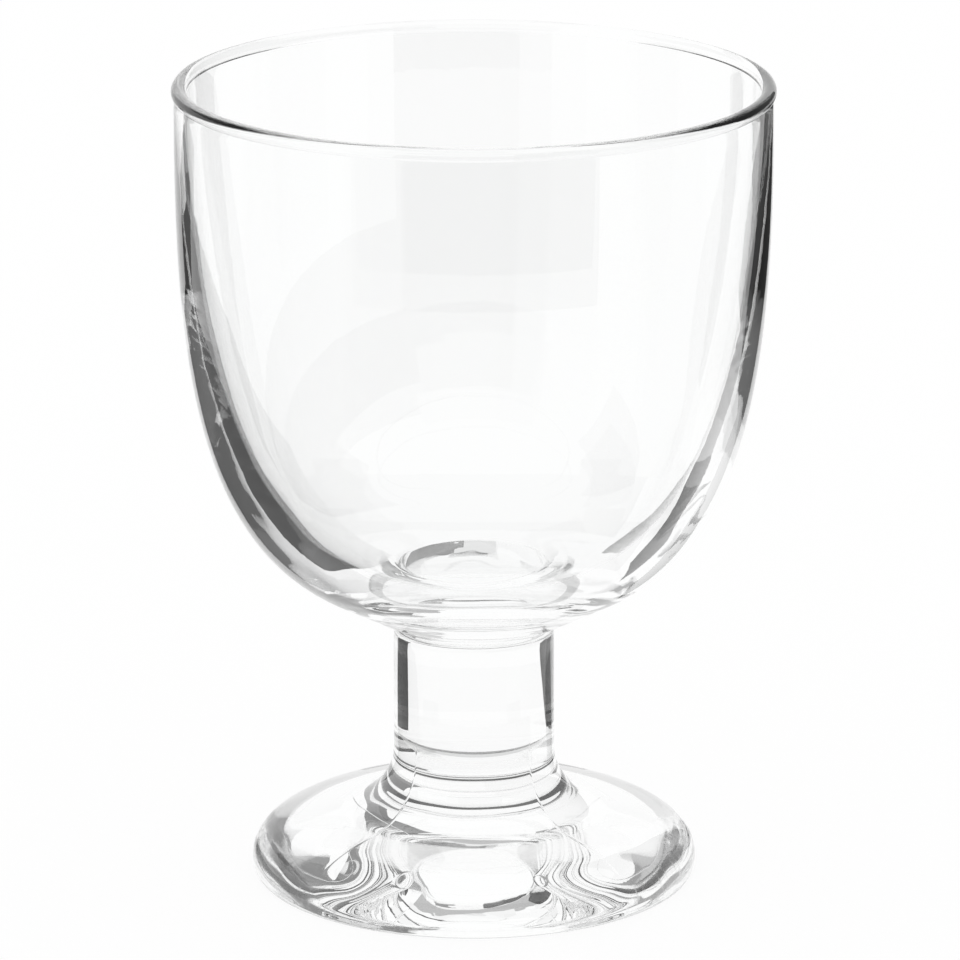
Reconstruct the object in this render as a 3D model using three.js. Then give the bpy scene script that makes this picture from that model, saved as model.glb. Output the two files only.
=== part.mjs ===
// A short-stemmed goblet of clear glass, standing on its foot: a deep round bowl with a fire-polished
// bead for a rim, a thick solid stem and a domed foot that is slightly hollow underneath.
// The three pieces are fused hot, one on top of the other, so each sits flat on the one below it.
// Millimetres, +Z up. The origin is the middle of the circle on which the foot rests.

import * as THREE from "three";

// Foot
const FOOT_RADIUS = 33.2; // its widest circle
const FOOT_WIDEST_AT = 2; // height of that circle above the table
const FOOT_HEEL = 0.9; // how far the rounded lower edge draws in
const FOOT_HEIGHT = 19.4; // from the table to the end of the fillet, where the stem begins
const FILLET_RADIUS = 9.9; // concave sweep from the dome up into the stem
const DOME_FALL = 9; // degrees, slope of the dome at the foot of the fillet
const DOME_REACH = 8; // how far the dome keeps that slope
const EDGE_HEIGHT = 4.5; // how far the edge stays upright before it turns over into the dome
const RESTING_RING = 6; // width of the flat ring that meets the table
const HOLLOW_DEPTH = 2.6; // of the shallow hollow inside the ring

// Stem
const STEM_RADIUS = 11.95;
const STEM_LENGTH = 18.5; // from the fillet to the underside of the bowl
const STEM_SHOULDER = 0.8; // rounding of its top edge, which leaves a notch under the bowl

// Bowl
const BOWL_HEIGHT = 82.6; // from the stem's top to the top of the rim
const BOWL_FLOOR = 9; // thickness of glass above the middle of the stem
const CONE_RISE = 28; // degrees, slope of the plain cone round the stem
const CONE_RADIUS = 23.5; // where the cone turns into the rounded side
const SHOULDER_LENGTH = 21; // how far the outside keeps the cone's slope as it turns up
const SIDE_REACH = 35; // how far the outside hangs straight down from the rim
const SIDE_SWELL = 0.75; // degrees, outward lean of both sides of the wall just under the rim
const FLOOR_RADIUS = 11.3; // flat disc in the middle of the inside
const FLOOR_REACH = 13; // how far the inside stays level beyond that disc before it turns up
const CAVITY_REACH = 62; // how far the inside hangs straight down from the rim

// Rim
const RIM_RADIUS = 44; // outermost circle of the bead
const BEAD_STEP = 0.4; // how far the bead, left by melting the cut edge, stands out from the wall
const WALL = 1.8; // wall thickness just under the bead

// Facets
const ROUND = 64; // sides of every turned form
const LONG_CURVE = 16; // steps along the bowl's two sides
const SHORT_CURVE = 6; // steps along the foot's curves and the hollow
const BEAD_CURVE = 4; // steps round each quarter of the bead
const EDGE_CURVE = 3; // steps round a small edge

const STEM_BASE = FOOT_HEIGHT;
const STEM_TOP = STEM_BASE + STEM_LENGTH;
const RIM_TOP = STEM_TOP + BOWL_HEIGHT;
const BEAD_RADIUS = (WALL + BEAD_STEP) / 2; // so that its inner side runs straight on into the wall

// Directions in a profile, in degrees up from the horizontal.
const OUTWARD = 0;
const UP = 90;
const INWARD = 180;
const DOWN = -90;

// A point of a profile: its distance from the axis and its height.
const at = (radius, height) => new THREE.Vector2(radius, height);

// The point a given distance from another, in a direction measured up from the horizontal.
function along(point, degrees, distance) {
  const angle = THREE.MathUtils.degToRad(degrees);
  return at(point.x + distance * Math.cos(angle), point.y + distance * Math.sin(angle));
}

// A round stretch of profile between two angles, measured up from the horizontal.
function arc(centre, across, up, from, to) {
  const start = THREE.MathUtils.degToRad(from);
  const end = THREE.MathUtils.degToRad(to);
  return new THREE.EllipseCurve(centre.x, centre.y, across, up, start, end, end < start);
}

const straight = (from, to) => new THREE.LineCurve(from, to);
const curve = (from, near, far, to) => new THREE.CubicBezierCurve(from, near, far, to);

// Turns a profile about the axis. The stretches follow each other from the axis back to the axis,
// each with its number of steps, and their shared ends are kept once.
function turned(stretches) {
  const points = [];
  for (const [stretch, steps] of stretches) {
    const fresh = stretch.getPoints(steps);
    points.push(...(points.length ? fresh.slice(1) : fresh));
  }
  return new THREE.LatheGeometry(points, ROUND).rotateX(Math.PI / 2);
}

// The foot: a hollow underside, the resting ring, a rounded edge, the dome and the fillet.
function footGeometry() {
  const ringOuter = at(FOOT_RADIUS - FOOT_HEEL, 0);
  const ringInner = at(ringOuter.x - RESTING_RING, 0);
  const hollowTop = at(0, HOLLOW_DEPTH);
  const widest = at(FOOT_RADIUS, FOOT_WIDEST_AT);
  const filletCentre = at(STEM_RADIUS + FILLET_RADIUS, FOOT_HEIGHT);
  const filletFoot = along(filletCentre, DOWN - DOME_FALL, FILLET_RADIUS);
  const stemEdge = at(STEM_RADIUS, FOOT_HEIGHT);
  return turned([
    [new THREE.QuadraticBezierCurve(hollowTop, at(ringInner.x / 2, HOLLOW_DEPTH), ringInner), SHORT_CURVE],
    [straight(ringInner, ringOuter), 1],
    [arc(at(ringOuter.x, widest.y), FOOT_HEEL, FOOT_WIDEST_AT, DOWN, OUTWARD), EDGE_CURVE],
    [
      curve(
        widest,
        at(FOOT_RADIUS, FOOT_WIDEST_AT + EDGE_HEIGHT),
        along(filletFoot, -DOME_FALL, DOME_REACH),
        filletFoot,
      ),
      2 * SHORT_CURVE,
    ],
    [arc(filletCentre, FILLET_RADIUS, FILLET_RADIUS, DOWN - DOME_FALL, -INWARD), SHORT_CURVE],
    [straight(stemEdge, at(0, FOOT_HEIGHT)), 1],
  ]);
}

// The stem: a solid barrel with a rounded top edge.
function stemGeometry() {
  const shoulder = at(STEM_RADIUS - STEM_SHOULDER, STEM_TOP - STEM_SHOULDER);
  return turned([
    [straight(at(0, STEM_BASE), at(STEM_RADIUS, STEM_BASE)), 1],
    [straight(at(STEM_RADIUS, STEM_BASE), at(STEM_RADIUS, shoulder.y)), 1],
    [arc(shoulder, STEM_SHOULDER, STEM_SHOULDER, OUTWARD, UP), EDGE_CURVE],
    [straight(at(shoulder.x, STEM_TOP), at(0, STEM_TOP)), 1],
  ]);
}

// The bowl: a flat seat on the stem, the cone, the swelling side, the bead and the cavity.
// The wall is thin under the rim and thickens all the way down to the floor.
function bowlGeometry() {
  const seat = at(STEM_RADIUS - STEM_SHOULDER, STEM_TOP);
  const coneLength = (CONE_RADIUS - seat.x) / Math.cos(THREE.MathUtils.degToRad(CONE_RISE));
  const coneTop = along(seat, CONE_RISE, coneLength);
  const bead = at(RIM_RADIUS - BEAD_RADIUS, RIM_TOP - BEAD_RADIUS);
  const creaseAngle = THREE.MathUtils.radToDeg(Math.acos(1 - BEAD_STEP / BEAD_RADIUS));
  const crease = along(bead, -creaseAngle, BEAD_RADIUS);
  const wallInside = along(bead, INWARD, BEAD_RADIUS);
  const floor = at(0, STEM_TOP + BOWL_FLOOR);
  const floorEdge = at(FLOOR_RADIUS, floor.y);
  const outside = curve(
    coneTop,
    along(coneTop, CONE_RISE, SHOULDER_LENGTH),
    along(crease, DOWN + SIDE_SWELL, SIDE_REACH),
    crease,
  );
  const inside = curve(
    wallInside,
    along(wallInside, DOWN + SIDE_SWELL, CAVITY_REACH),
    at(FLOOR_RADIUS + FLOOR_REACH, floor.y),
    floorEdge,
  );
  return turned([
    [straight(at(0, STEM_TOP), seat), 1],
    [straight(seat, coneTop), 2],
    [outside, LONG_CURVE],
    [arc(bead, BEAD_RADIUS, BEAD_RADIUS, -creaseAngle, OUTWARD), BEAD_CURVE],
    [arc(bead, BEAD_RADIUS, BEAD_RADIUS, OUTWARD, UP), BEAD_CURVE],
    [arc(bead, BEAD_RADIUS, BEAD_RADIUS, UP, INWARD), BEAD_CURVE],
    [inside, LONG_CURVE],
    [straight(floorEdge, floor), 1],
  ]);
}

// Clear, very slightly cool glass with a polished skin.
function clearGlass() {
  return new THREE.MeshStandardMaterial({
    color: 0xeef3f1,
    roughness: 0.03,
    metalness: 0,
    transparent: true,
    opacity: 0.35,
  });
}

const goblet = new THREE.Group();
const pieces = { foot: footGeometry(), stem: stemGeometry(), bowl: bowlGeometry() };
for (const [name, geometry] of Object.entries(pieces)) {
  const mesh = new THREE.Mesh(geometry, clearGlass());
  mesh.name = name;
  goblet.add(mesh);
}

export default goblet;
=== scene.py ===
from math import acos, cos, exp, pi, radians, sin

import bmesh
import bpy
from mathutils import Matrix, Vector


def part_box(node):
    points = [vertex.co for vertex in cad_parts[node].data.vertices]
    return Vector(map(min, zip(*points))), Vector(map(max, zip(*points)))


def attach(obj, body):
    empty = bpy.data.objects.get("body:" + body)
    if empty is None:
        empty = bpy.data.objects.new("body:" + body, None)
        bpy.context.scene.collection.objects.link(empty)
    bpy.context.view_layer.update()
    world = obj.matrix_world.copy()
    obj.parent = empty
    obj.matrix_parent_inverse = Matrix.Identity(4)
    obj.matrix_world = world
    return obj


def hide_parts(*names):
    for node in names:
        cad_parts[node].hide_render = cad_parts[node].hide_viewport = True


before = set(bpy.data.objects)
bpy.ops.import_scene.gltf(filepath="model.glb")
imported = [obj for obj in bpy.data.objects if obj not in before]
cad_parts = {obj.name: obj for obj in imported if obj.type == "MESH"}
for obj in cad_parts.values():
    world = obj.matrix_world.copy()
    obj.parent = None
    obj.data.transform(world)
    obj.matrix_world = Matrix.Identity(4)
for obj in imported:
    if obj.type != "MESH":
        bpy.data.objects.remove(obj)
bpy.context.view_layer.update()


# Foot
# The real foot is a pressed disc of clear glass: a dome that sweeps up into the stem in a fillet, a
# rounded edge, and a shallow hollow underneath that leaves a flat ring to stand on. It is fused to the
# stem while hot.
foot_low, foot_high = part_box("foot")
FOOT_RADIUS = foot_high.x
FOOT_BASE = foot_low.z
FOOT_HEIGHT = foot_high.z
FOOT_WIDEST_AT = 0.0020
FOOT_HEEL = 0.0009
FILLET_RADIUS = 0.0099
DOME_FALL = radians(9)
DOME_REACH = 0.0080
EDGE_HEIGHT = 0.0045
RESTING_RING = 0.0060
RING_OUTER = FOOT_RADIUS - FOOT_HEEL
RING_INNER = RING_OUTER - RESTING_RING
HOLLOW_DEPTH = 0.0026
STEM_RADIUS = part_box("stem")[1].x

# The mould opens in four quarters and leaves a fine raised line at each of its joints. The lines rise to
# their full height over a share of the dome.
MOULD_JOINTS = [radians(degrees) for degrees in (-136, -46, 44, 134)]
MOULD_LINE_HEIGHT = 0.00005
MOULD_LINE_WIDTH = radians(0.7)
MOULD_LINE_RUN_IN = 0.625

# Pressing and fire-polishing leave the skin slightly wavy: low waves, each with a direction, a length and
# a start. They die out near the resting ring, the edge and the stem.
RIPPLES = [
    ((0.94, 0.21, 0.26), 0.0081, 0.4),
    ((-0.35, 0.90, 0.25), 0.0067, 2.1),
    ((0.55, -0.62, 0.56), 0.0104, 4.0),
    ((0.12, 0.71, -0.69), 0.0058, 5.2),
    ((-0.78, -0.48, 0.40), 0.0093, 1.3),
]
FOOT_RIPPLE = 0.00002
HOLLOW_RIPPLE = 0.000015
CALM_BY_RING = 0.004
CALM_BY_EDGE = 0.002
CALM_BY_STEM = 0.006

# A face counts as level or sideways by how much its outward direction rises.
LEVEL = 0.999
SIDEWAYS = 0.5

# Facets round every piece, finer across a mould line, and along each stretch of the foot's profile.
ROUND_FACETS = 300
LINE_FACETS = [radians(degrees) for degrees in (-1.1, -0.7, -0.35, 0, 0.35, 0.7, 1.1)]
LINE_CLEARING = radians(1.54)
HOLLOW_FACETS = 28
RING_FACETS = 3
HEEL_FACETS = 10
DOME_FACETS = 32
FILLET_FACETS = 28
SHARP_EDGE = radians(40)
NO_LENGTH = 1e-7

# Clear soda-lime glass. Its skin has a fine grain from the mould, and tables scuff the resting ring.
GLASS_COLOUR = (0.997, 1.0, 0.999, 1)
GLASS_IOR = 1.52
GRAIN_HEIGHT = 0.000004
GRAIN_SCALE = 260.0
GRAIN_DETAIL = 2.0
SCUFF_TOP = 0.0002
SCUFF_SCALE = 1400.0
SCUFF_DETAIL = 4.0
SCUFF_RANGE = (0.48, 0.62)
SCUFF_ROUGHNESS = 0.12


def at(radius, height):
    """A point of a profile."""
    return Vector((radius, height))


def along(point, angle, distance):
    """The point that far from another, in a direction measured up from the horizontal."""
    return point + distance * Vector((cos(angle), sin(angle)))


def straight(start, end, facets=1):
    """A straight stretch of a profile."""
    return [start.lerp(end, i / facets) for i in range(facets + 1)]


def curve(start, near, far, end, facets):
    """A cubic curve with its two handles."""
    points = []
    for i in range(facets + 1):
        t = i / facets
        s = 1 - t
        points.append(s**3 * start + 3 * s * s * t * near + 3 * s * t * t * far + t**3 * end)
    return points


def arc(centre, across, up, start, end, facets):
    """A round stretch between two angles, measured up from the horizontal."""
    angles = [start + (end - start) * i / facets for i in range(facets + 1)]
    return [centre + Vector((across * cos(a), up * sin(a))) for a in angles]


def joined(*stretches):
    """One profile from stretches that share their ends."""
    points = list(stretches[0])
    for stretch in stretches[1:]:
        points.extend(stretch[1:])
    return points


def turned(name, profile, seam_heights, skin, joints=()):
    """Turns a profile that runs from the axis back to the axis. Level discs at the seam heights are the
    fused faces. The skin says how far the surface stands out from the true form, at a point of the
    profile, its outward direction and an angle. The facets are finer at the mould's joints."""
    angles = {2 * pi * i / ROUND_FACETS - pi for i in range(ROUND_FACETS)}
    for joint in joints:
        angles = {a for a in angles if abs(a - joint) > LINE_CLEARING}
        angles |= {joint + step for step in LINE_FACETS}
    angles = sorted(angles)
    bm = bmesh.new()
    rings = []
    last = len(profile) - 1
    for i, point in enumerate(profile):
        if point.x < NO_LENGTH:
            rings.append([bm.verts.new((0, 0, point.y))] * len(angles))
            continue
        run = (profile[min(i + 1, last)] - profile[max(i - 1, 0)]).normalized()
        outward = Vector((run.y, -run.x))
        ring = []
        for a in angles:
            place = point + skin(point, outward, a) * outward
            ring.append(bm.verts.new((place.x * sin(a), -place.x * cos(a), place.y)))
        rings.append(ring)
    for i in range(last):
        low, high = rings[i], rings[i + 1]
        level = abs(profile[i].y - profile[i + 1].y) < NO_LENGTH
        fused = level and any(abs(profile[i].y - height) < NO_LENGTH for height in seam_heights)
        for j in range(len(angles)):
            k = (j + 1) % len(angles)
            corners = list(dict.fromkeys((low[j], low[k], high[k], high[j])))
            face = bm.faces.new(corners)
            face.smooth = True
            face.material_index = 1 if fused else 0
    mesh = bpy.data.meshes.new(name)
    bm.to_mesh(mesh)
    bm.free()
    mesh.set_sharp_from_angle(angle=SHARP_EDGE)
    piece = bpy.data.objects.new(name, mesh)
    bpy.context.scene.collection.objects.link(piece)
    return piece


def foot_profile():
    """The hollow, the resting ring, the rounded edge, the dome, the fillet and the fused top."""
    ring_inner = at(RING_INNER, FOOT_BASE)
    ring_outer = at(RING_OUTER, FOOT_BASE)
    hollow_top = at(0, HOLLOW_DEPTH)
    hollow_shoulder = at(ring_inner.x / 2, HOLLOW_DEPTH)
    hollow_near = hollow_top.lerp(hollow_shoulder, 2 / 3)
    hollow_far = ring_inner.lerp(hollow_shoulder, 2 / 3)
    widest = at(FOOT_RADIUS, FOOT_WIDEST_AT)
    edge_top = at(FOOT_RADIUS, FOOT_WIDEST_AT + EDGE_HEIGHT)
    heel_centre = at(RING_OUTER, FOOT_WIDEST_AT)
    fillet_centre = at(STEM_RADIUS + FILLET_RADIUS, FOOT_HEIGHT)
    fillet_start = -pi / 2 - DOME_FALL
    fillet_foot = along(fillet_centre, fillet_start, FILLET_RADIUS)
    dome_out = along(fillet_foot, -DOME_FALL, DOME_REACH)
    return joined(
        curve(hollow_top, hollow_near, hollow_far, ring_inner, HOLLOW_FACETS),
        straight(ring_inner, ring_outer, RING_FACETS),
        arc(heel_centre, FOOT_HEEL, FOOT_WIDEST_AT, -pi / 2, 0, HEEL_FACETS),
        curve(widest, edge_top, dome_out, fillet_foot, DOME_FACETS),
        arc(fillet_centre, FILLET_RADIUS, FILLET_RADIUS, fillet_start, -pi, FILLET_FACETS),
        straight(at(STEM_RADIUS, FOOT_HEIGHT), at(0, FOOT_HEIGHT)),
    )


def mould_lines(angle):
    """Height of the raised lines round the piece."""
    height = 0.0
    for joint in MOULD_JOINTS:
        height += MOULD_LINE_HEIGHT * exp(-((2 * (angle - joint) / MOULD_LINE_WIDTH) ** 2))
    return height


def ripple(point, angle):
    """Height of the waves at a point of a turned piece, from about -1 to 1."""
    place = Vector((point.x * sin(angle), -point.x * cos(angle), point.y))
    waves = [sin(2 * pi * place.dot(Vector(way)) / length + start) for way, length, start in RIPPLES]
    return 2 * sum(waves) / len(waves)


def foot_skin(point, outward, angle):
    """The hollow and the dome are wavy, and the ring and the fused top are flat. The mould's lines fade
    out towards the edge."""
    if outward.y > LEVEL:
        return 0.0
    if outward.y < -SIDEWAYS:
        calm = max(0.0, min(1.0, (RING_INNER - point.x) / CALM_BY_RING))
        return HOLLOW_RIPPLE * calm * ripple(point, angle)
    if point.y <= FOOT_WIDEST_AT:
        return 0.0
    run_in = MOULD_LINE_RUN_IN * (FOOT_RADIUS - STEM_RADIUS)
    fade = min(1.0, (FOOT_RADIUS - point.x) / run_in)
    from_edge = (point.y - FOOT_WIDEST_AT) / CALM_BY_EDGE
    from_stem = (FOOT_HEIGHT - point.y) / CALM_BY_STEM
    calm = min(1.0, from_edge, from_stem)
    return fade * mould_lines(angle) + FOOT_RIPPLE * calm * ripple(point, angle)


def glass_skin():
    """Height of the fine grain on the skin, and roughness of the scuffs below a height."""
    group = bpy.data.node_groups.new("glass_skin", "ShaderNodeTree")
    group.interface.new_socket("Wear Height", in_out="INPUT", socket_type="NodeSocketFloat")
    group.interface.new_socket("Grain", in_out="OUTPUT", socket_type="NodeSocketFloat")
    group.interface.new_socket("Roughness", in_out="OUTPUT", socket_type="NodeSocketFloat")
    nodes, links = group.nodes, group.links
    taken = nodes.new("NodeGroupInput")
    given = nodes.new("NodeGroupOutput")
    place = nodes.new("ShaderNodeTexCoord")
    grain = nodes.new("ShaderNodeTexNoise")
    grain.inputs["Scale"].default_value = GRAIN_SCALE
    grain.inputs["Detail"].default_value = GRAIN_DETAIL
    links.new(place.outputs["Object"], grain.inputs["Vector"])
    links.new(grain.outputs["Fac"], given.inputs["Grain"])
    specks = nodes.new("ShaderNodeTexNoise")
    specks.inputs["Scale"].default_value = SCUFF_SCALE
    specks.inputs["Detail"].default_value = SCUFF_DETAIL
    links.new(place.outputs["Object"], specks.inputs["Vector"])
    worn = nodes.new("ShaderNodeMapRange")
    worn.inputs["From Min"].default_value = SCUFF_RANGE[0]
    worn.inputs["From Max"].default_value = SCUFF_RANGE[1]
    links.new(specks.outputs["Fac"], worn.inputs["Value"])
    height = nodes.new("ShaderNodeSeparateXYZ")
    links.new(place.outputs["Object"], height.inputs[0])
    low = nodes.new("ShaderNodeMath")
    low.operation = "LESS_THAN"
    links.new(height.outputs["Z"], low.inputs[0])
    links.new(taken.outputs["Wear Height"], low.inputs[1])
    scuffs = nodes.new("ShaderNodeMath")
    scuffs.operation = "MULTIPLY"
    links.new(worn.outputs[0], scuffs.inputs[0])
    links.new(low.outputs[0], scuffs.inputs[1])
    rough = nodes.new("ShaderNodeMath")
    rough.operation = "MULTIPLY"
    rough.inputs[1].default_value = SCUFF_ROUGHNESS
    links.new(scuffs.outputs[0], rough.inputs[0])
    links.new(rough.outputs[0], given.inputs["Roughness"])
    return group


def clear_glass():
    """Very slightly cool glass, polished but for its grain and its scuffs."""
    material = bpy.data.materials.new("clear_glass")
    material.use_nodes = True
    nodes, links = material.node_tree.nodes, material.node_tree.links
    shader = nodes["Principled BSDF"]
    shader.inputs["Base Color"].default_value = GLASS_COLOUR
    shader.inputs["Transmission Weight"].default_value = 1.0
    shader.inputs["IOR"].default_value = GLASS_IOR
    skin = nodes.new("ShaderNodeGroup")
    skin.node_tree = glass_skin()
    skin.inputs["Wear Height"].default_value = SCUFF_TOP
    links.new(skin.outputs["Roughness"], shader.inputs["Roughness"])
    bump = nodes.new("ShaderNodeBump")
    bump.inputs["Strength"].default_value = 1.0
    bump.inputs["Distance"].default_value = GRAIN_HEIGHT
    links.new(skin.outputs["Grain"], bump.inputs["Height"])
    links.new(bump.outputs["Normal"], shader.inputs["Normal"])
    return material


def fused_seam():
    """The two pieces are one body of glass here, so nothing shows."""
    material = bpy.data.materials.new("fused_seam")
    material.use_nodes = True
    material.node_tree.nodes["Principled BSDF"].inputs["Alpha"].default_value = 0.0
    return material


GLASS = clear_glass()
FUSED = fused_seam()

foot = turned("foot_glass", foot_profile(), [FOOT_HEIGHT], foot_skin, MOULD_JOINTS)
foot.data.materials.append(GLASS)
foot.data.materials.append(FUSED)
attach(foot, "root")
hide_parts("foot")


# Stem
# The real stem is a short solid barrel of the same glass. Its top edge is rounded by the heat, which
# leaves a notch under the bowl. The mould's lines run on from the foot and fade out half-way up.
stem_low, stem_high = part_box("stem")
STEM_BASE = stem_low.z
STEM_TOP = stem_high.z
STEM_SHOULDER = 0.0008
MOULD_LINE_END = (STEM_BASE + STEM_TOP) / 2
BARREL_FACETS = 16
SHOULDER_FACETS = 10


def stem_profile():
    """The fused base, the barrel, the rounded top edge and the fused top."""
    shoulder = at(STEM_RADIUS - STEM_SHOULDER, STEM_TOP - STEM_SHOULDER)
    return joined(
        straight(at(0, STEM_BASE), at(STEM_RADIUS, STEM_BASE)),
        straight(at(STEM_RADIUS, STEM_BASE), at(STEM_RADIUS, shoulder.y), BARREL_FACETS),
        arc(shoulder, STEM_SHOULDER, STEM_SHOULDER, 0, pi / 2, SHOULDER_FACETS),
        straight(at(shoulder.x, STEM_TOP), at(0, STEM_TOP)),
    )


def stem_skin(point, outward, angle):
    """The heat of fusing smooths the lines away up the stem."""
    if point.x < STEM_RADIUS - STEM_SHOULDER or abs(outward.y) > SIDEWAYS:
        return 0.0
    fade = (MOULD_LINE_END - point.y) / (MOULD_LINE_END - STEM_BASE)
    return max(0.0, fade) * mould_lines(angle)


stem = turned("stem_glass", stem_profile(), [STEM_BASE, STEM_TOP], stem_skin, MOULD_JOINTS)
stem.data.materials.append(GLASS)
stem.data.materials.append(FUSED)
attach(stem, "root")
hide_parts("stem")


# Bowl
# The real bowl is a deep cup of the same glass, made apart and fused to the stem. Its wall is thin under
# the rim and grows down to a heavy floor. The cut edge is melted back to a round bead.
bowl_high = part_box("bowl")[1]
RIM_RADIUS = bowl_high.x
RIM_TOP = bowl_high.z
BOWL_FLOOR = 0.0090
FLOOR_RADIUS = 0.0113
CONE_RISE = radians(28)
CONE_RADIUS = 0.0235
SHOULDER_LENGTH = 0.021
SIDE_REACH = 0.035
SIDE_SWELL = radians(0.75)
FLOOR_REACH = 0.013
CAVITY_REACH = 0.062
BEAD_STEP = 0.0004
WALL = 0.0018
BEAD_RADIUS = (WALL + BEAD_STEP) / 2
BOWL_RIPPLE = 0.00003
CALM_BY_RIM = 4 * BEAD_RADIUS
CONE_FACETS = 6
SIDE_FACETS = 80
BEAD_FACETS = 24
CAVITY_FACETS = 90
FLOOR_FACETS = 8


def bowl_profile():
    """The fused seat, the cone, the swelling side, the bead, the cavity and its floor."""
    seat = at(STEM_RADIUS - STEM_SHOULDER, STEM_TOP)
    cone_top = along(seat, CONE_RISE, (CONE_RADIUS - seat.x) / cos(CONE_RISE))
    bead = at(RIM_RADIUS - BEAD_RADIUS, RIM_TOP - BEAD_RADIUS)
    crease_angle = acos(1 - BEAD_STEP / BEAD_RADIUS)
    crease = along(bead, -crease_angle, BEAD_RADIUS)
    wall_inside = along(bead, pi, BEAD_RADIUS)
    floor = at(0, STEM_TOP + BOWL_FLOOR)
    floor_edge = at(FLOOR_RADIUS, floor.y)
    floor_out = at(FLOOR_RADIUS + FLOOR_REACH, floor.y)
    shoulder_out = along(cone_top, CONE_RISE, SHOULDER_LENGTH)
    side_down = along(crease, SIDE_SWELL - pi / 2, SIDE_REACH)
    cavity_down = along(wall_inside, SIDE_SWELL - pi / 2, CAVITY_REACH)
    return joined(
        straight(at(0, STEM_TOP), seat),
        straight(seat, cone_top, CONE_FACETS),
        curve(cone_top, shoulder_out, side_down, crease, SIDE_FACETS),
        arc(bead, BEAD_RADIUS, BEAD_RADIUS, -crease_angle, pi, BEAD_FACETS),
        curve(wall_inside, cavity_down, floor_out, floor_edge, CAVITY_FACETS),
        straight(floor_edge, floor, FLOOR_FACETS),
    )


def bowl_skin(point, outward, angle):
    """The floor and the turn of the cavity are wavy, where the plunger left the glass hottest."""
    if outward.y <= 0 or point.y > RIM_TOP - CALM_BY_RIM:
        return 0.0
    return BOWL_RIPPLE * outward.y**2 * ripple(point, angle)


bowl = turned("bowl_glass", bowl_profile(), [STEM_TOP], bowl_skin)
bowl.data.materials.append(GLASS)
bowl.data.materials.append(FUSED)
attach(bowl, "root")
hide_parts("bowl")


# Camera
# A long lens looks down at the goblet from the front. It stands a millimetre to the right of the goblet's
# middle and is not tipped sideways.
CAMERA_PLACE = Vector((0.0009, -0.9258, 0.3262))
CAMERA_DIP = radians(16.03)
CAMERA_LENS = 244.4
CAMERA_SENSOR = 36

camera = bpy.data.objects.new("camera", bpy.data.cameras.new("camera"))
camera.data.lens = CAMERA_LENS
camera.data.sensor_width = CAMERA_SENSOR
camera.location = CAMERA_PLACE
camera.rotation_euler = (pi / 2 - CAMERA_DIP, 0, 0)
bpy.context.scene.collection.objects.link(camera)
bpy.context.scene.camera = camera


# Floor and backdrop
# A plain white table under a plain white room. The camera and the glass see both as white, and the table
# keeps a share of the light that falls on it, with the goblet's shadow.
TABLE_SIZE = 6.0
TABLE_GAP = 0.00004
TABLE_COLOUR = (0.97, 0.97, 0.97, 1)
TABLE_SHADE = 0.06
ROOM_COLOUR = (1, 1, 1, 1)


def stage_sheet(name, corners, faces):
    """A sheet of the stage, which is no part of the goblet."""
    mesh = bpy.data.meshes.new(name)
    mesh.from_pydata(corners, [], faces)
    sheet = bpy.data.objects.new(name, mesh)
    bpy.context.scene.collection.objects.link(sheet)
    return sheet


def white_to_eye(nodes, links):
    """1 for rays that reach the camera directly, by reflection or through glass."""
    path = nodes.new("ShaderNodeLightPath")
    camera_or_gloss = nodes.new("ShaderNodeMath")
    camera_or_gloss.operation = "MAXIMUM"
    links.new(path.outputs["Is Camera Ray"], camera_or_gloss.inputs[0])
    links.new(path.outputs["Is Glossy Ray"], camera_or_gloss.inputs[1])
    any_of_them = nodes.new("ShaderNodeMath")
    any_of_them.operation = "MAXIMUM"
    links.new(camera_or_gloss.outputs[0], any_of_them.inputs[0])
    links.new(path.outputs["Is Transmission Ray"], any_of_them.inputs[1])
    return any_of_them.outputs[0]


def white_table():
    """White to the eye, but for a share that takes the light and the shadow on it."""
    material = bpy.data.materials.new("table_white")
    material.use_nodes = True
    nodes, links = material.node_tree.nodes, material.node_tree.links
    shader = nodes["Principled BSDF"]
    shader.inputs["Base Color"].default_value = TABLE_COLOUR
    shader.inputs["Roughness"].default_value = 1.0
    shader.inputs["Specular IOR Level"].default_value = 0.0
    glow = nodes.new("ShaderNodeEmission")
    glow.inputs["Strength"].default_value = 1.0
    share = nodes.new("ShaderNodeMath")
    share.operation = "MULTIPLY"
    share.inputs[1].default_value = 1 - TABLE_SHADE
    links.new(white_to_eye(nodes, links), share.inputs[0])
    mix = nodes.new("ShaderNodeMixShader")
    links.new(share.outputs[0], mix.inputs["Fac"])
    links.new(shader.outputs[0], mix.inputs[1])
    links.new(glow.outputs[0], mix.inputs[2])
    links.new(mix.outputs[0], nodes["Material Output"].inputs["Surface"])
    return material


half = TABLE_SIZE / 2
table_corners = [
    (-half, -half, -TABLE_GAP),
    (half, -half, -TABLE_GAP),
    (half, half, -TABLE_GAP),
    (-half, half, -TABLE_GAP),
]
table = stage_sheet("table", table_corners, [(0, 1, 2, 3)])
table.data.materials.append(white_table())

room = bpy.data.worlds.new("room")
room.use_nodes = True
room.node_tree.nodes["Background"].inputs["Color"].default_value = ROOM_COLOUR
bpy.context.scene.world = room


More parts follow.
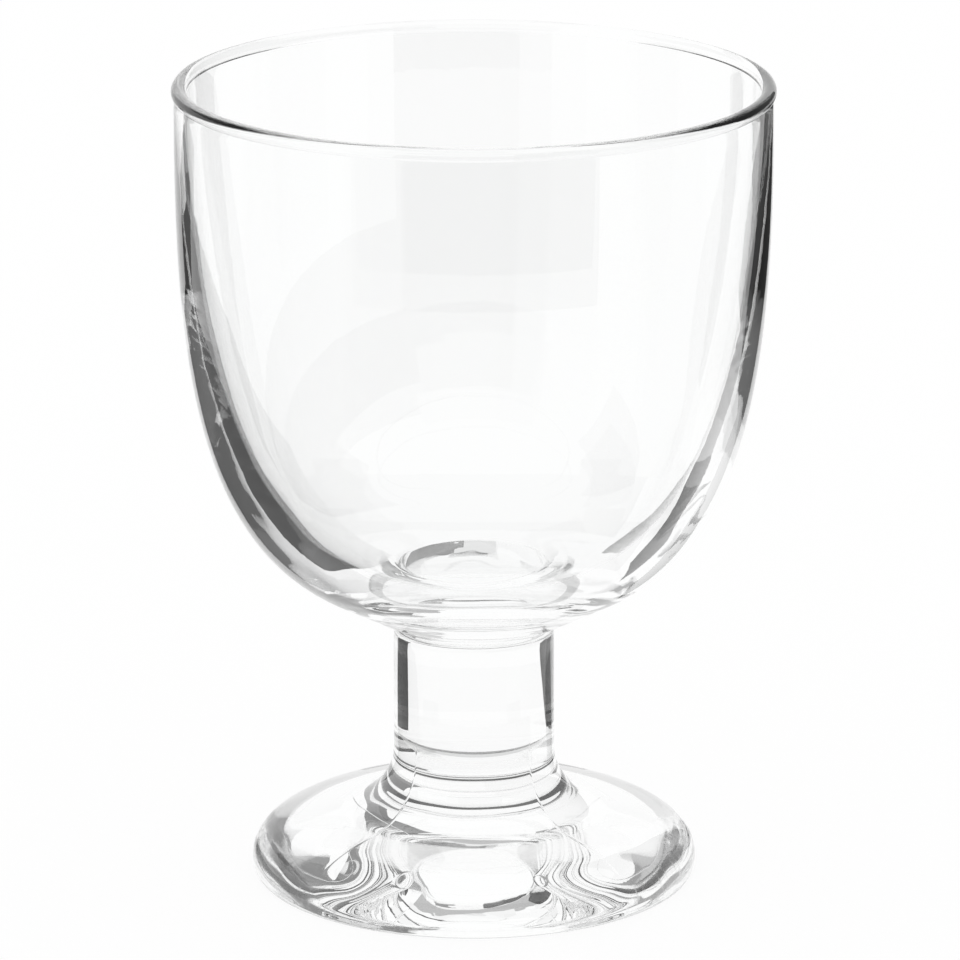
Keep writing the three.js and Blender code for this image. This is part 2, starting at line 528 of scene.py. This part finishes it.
# Light
# The table is a white sweep between dark cloths, so that the edges of the glass draw dark on the white.
# Dark and grey panels stand at its sides and behind the camera. They all hang on an arm that swings round
# with the camera, as if the goblet were on a turntable, and only the glass sees them.
CLOTH_LIFT = 0.0002
CLOTHS = {
    "left": {
        "shade": 0.08,
        "corners": [
            (-0.032, -0.025), (-0.040, 0.005), (-0.044, 0.030), (-0.050, 0.046), (-0.060, 0.062),
            (-0.068, 0.078), (-0.082, 0.100), (-0.097, 0.150), (-0.106, 0.175), (-0.126, 0.225),
            (-0.134, 0.290), (-0.190, 0.290), (-0.225, 0.240), (-0.220, 0.150), (-0.195, 0.080),
            (-0.155, 0.035), (-0.110, -0.010),
        ],
    },
    "left_far": {
        "shade": 0.16,
        "corners": [
            (-0.185, 0.285), (-0.205, 0.240), (-0.235, 0.250), (-0.330, 0.330), (-0.330, 0.440),
            (-0.240, 0.400),
        ],
    },
    "right": {
        "shade": 0.06,
        "corners": [
            (0.110, 0.140), (0.124, 0.200), (0.138, 0.250), (0.143, 0.300), (0.140, 0.360),
            (0.150, 0.450), (0.150, 0.520), (0.330, 0.520), (0.300, 0.300), (0.250, 0.200),
            (0.190, 0.140),
        ],
    },
    "right_middle": {
        "shade": 0.38,
        "corners": [
            (0.080, 0.086), (0.092, 0.052), (0.135, 0.110), (0.150, 0.150), (0.110, 0.142),
            (0.097, 0.118),
        ],
    },
    "right_near": {
        "shade": 0.06,
        "corners": [
            (0.036, 0.047), (0.047, 0.029), (0.055, 0.033), (0.069, 0.038), (0.084, 0.046),
            (0.092, 0.052), (0.080, 0.086), (0.065, 0.0745), (0.052, 0.063), (0.044, 0.0555),
        ],
    },
}

# The table in front of the goblet is pale grey, with a white lane on either side of the camera. Each
# stretch of it lies between two bearings, in degrees from straight behind the goblet towards the right.
FRONT_SHADE = 0.92
FRONT_NEAR = 0.09
FRONT_FAR = 1.1
FRONT_LIFT = CLOTH_LIFT / 2
FRONT_BEARINGS = [(84, 114), (134, 229), (254, 276)]

# The table close round the front of the foot is darker. This is painted shade, on a sheet that only the
# glass sees.
SHADE_BY_FOOT = 0.50
SHADE_BY_FOOT_NEAR = 0.055
SHADE_BY_FOOT_FAR = 0.10
SHADE_BY_FOOT_LIFT = CLOTH_LIFT / 4
SHADE_BY_FOOT_BEARINGS = (95, 265)

# A painted shadow lies on the table where the resting ring touches it, since less light gets in there. It
# is darkest along the ring's far edge.
CONTACT_SHADE = 0.66
CONTACT_LEVEL = -TABLE_GAP / 2
CONTACT_FACETS = 60
FAR_EDGE_SHADE = 0.12
FAR_EDGE_LEVEL = -TABLE_GAP / 4
FAR_EDGE_WIDTH = 0.0034
FAR_EDGE_BEARINGS = (-33, 33)

# Each panel stands between two bearings and two heights, the same distance away all along. The band hangs
# close in front of the bowl.
PANEL_FACETS = 24
PANELS = {
    "right_back": {"shade": 0.20, "distance": 1.19, "bearings": (22, 76), "heights": (0.04, 0.60)},
    "right": {"shade": 0.13, "distance": 1.20, "bearings": (75, 150), "heights": (0.04, 0.78)},
    "right_high": {"shade": 0.28, "distance": 1.20, "bearings": (22, 80), "heights": (0.45, 1.39)},
    "left_high": {"shade": 0.34, "distance": 1.20, "bearings": (-100, -40), "heights": (0.46, 1.20)},
    "camera_side": {"shade": 0.75, "distance": 1.30, "bearings": (150, 215), "heights": (0.17, 1.00)},
    "camera_right": {"shade": 0.13, "distance": 1.20, "bearings": (150, 165), "heights": (0.10, 0.50)},
    "camera_band": {
        "shade": 0.17, "distance": 0.11, "bearings": (141, 202), "heights": (0.074, 0.118),
    },
    "camera_band_end": {
        "shade": 0.60, "distance": 0.11, "bearings": (202, 218), "heights": (0.074, 0.118),
    },
}

arm = bpy.data.objects.new("turntable_arm", None)
bpy.context.scene.collection.objects.link(arm)
swing = arm.constraints.new("LOCKED_TRACK")
swing.target = camera
swing.track_axis = "TRACK_NEGATIVE_Y"
swing.lock_axis = "LOCK_Z"


def glass_card(name, corners, faces, shade):
    """A card on the arm that only the glass sees, as bright as its shade."""
    card = stage_sheet(name, corners, faces)
    card.parent = arm
    card.visible_camera = False
    card.visible_diffuse = False
    card.visible_shadow = False
    paper = bpy.data.materials.new(name)
    paper.use_nodes = True
    nodes, links = paper.node_tree.nodes, paper.node_tree.links
    glow = nodes.new("ShaderNodeEmission")
    glow.inputs["Strength"].default_value = shade
    links.new(glow.outputs[0], nodes["Material Output"].inputs["Surface"])
    card.data.materials.append(paper)


def bent(bearings, near, far, facets=PANEL_FACETS):
    """Corners and faces of a card that bends round the goblet between two circles, each a radius and a
    height."""
    corners = []
    for i in range(facets + 1):
        bearing = radians(bearings[0] + (bearings[1] - bearings[0]) * i / facets)
        for radius, height in (near, far):
            corners.append((radius * sin(bearing), radius * cos(bearing), height))
    return corners, [(2 * i, 2 * i + 1, 2 * i + 3, 2 * i + 2) for i in range(facets)]


for layer, (side, cloth) in enumerate(CLOTHS.items(), 1):
    corners = [(x, y, layer * CLOTH_LIFT) for x, y in cloth["corners"]]
    glass_card("dark_cloth_" + side, corners, [tuple(range(len(corners)))], cloth["shade"])

for bearings in FRONT_BEARINGS:
    front = bent(bearings, (FRONT_NEAR, FRONT_LIFT), (FRONT_FAR, FRONT_LIFT))
    glass_card("front_cloth", *front, FRONT_SHADE)

# Painted shade on the table round the front of the foot.
foot_shade_near = (SHADE_BY_FOOT_NEAR, SHADE_BY_FOOT_LIFT)
foot_shade_far = (SHADE_BY_FOOT_FAR, SHADE_BY_FOOT_LIFT)
painted_foot_shade = bent(SHADE_BY_FOOT_BEARINGS, foot_shade_near, foot_shade_far)
glass_card("painted_foot_shade", *painted_foot_shade, SHADE_BY_FOOT)

# The painted shadow under the resting ring, and its darker band along the far edge.
contact = bent((0, 360), (RING_INNER, CONTACT_LEVEL), (RING_OUTER, CONTACT_LEVEL), CONTACT_FACETS)
glass_card("painted_shadow_under_ring", *contact, CONTACT_SHADE)

far_edge_near = (RING_OUTER - FAR_EDGE_WIDTH, FAR_EDGE_LEVEL)
far_edge = bent(FAR_EDGE_BEARINGS, far_edge_near, (RING_OUTER, FAR_EDGE_LEVEL))
glass_card("painted_shadow_under_far_edge", *far_edge, FAR_EDGE_SHADE)

for side, panel in PANELS.items():
    away = panel["distance"]
    bottom, top = panel["heights"]
    standing = bent(panel["bearings"], (away, bottom), (away, top))
    glass_card("panel_" + side, *standing, panel["shade"])


# Picture
# Colours come out as they are written. Light turns many times inside the thick glass before it leaves, so
# its paths are followed for long.
LIGHT_TURNS = 96
MIRROR_TURNS = 32

bpy.context.scene.view_settings.view_transform = "Standard"
bpy.context.scene.cycles.max_bounces = LIGHT_TURNS
bpy.context.scene.cycles.transmission_bounces = LIGHT_TURNS
bpy.context.scene.cycles.glossy_bounces = MIRROR_TURNS
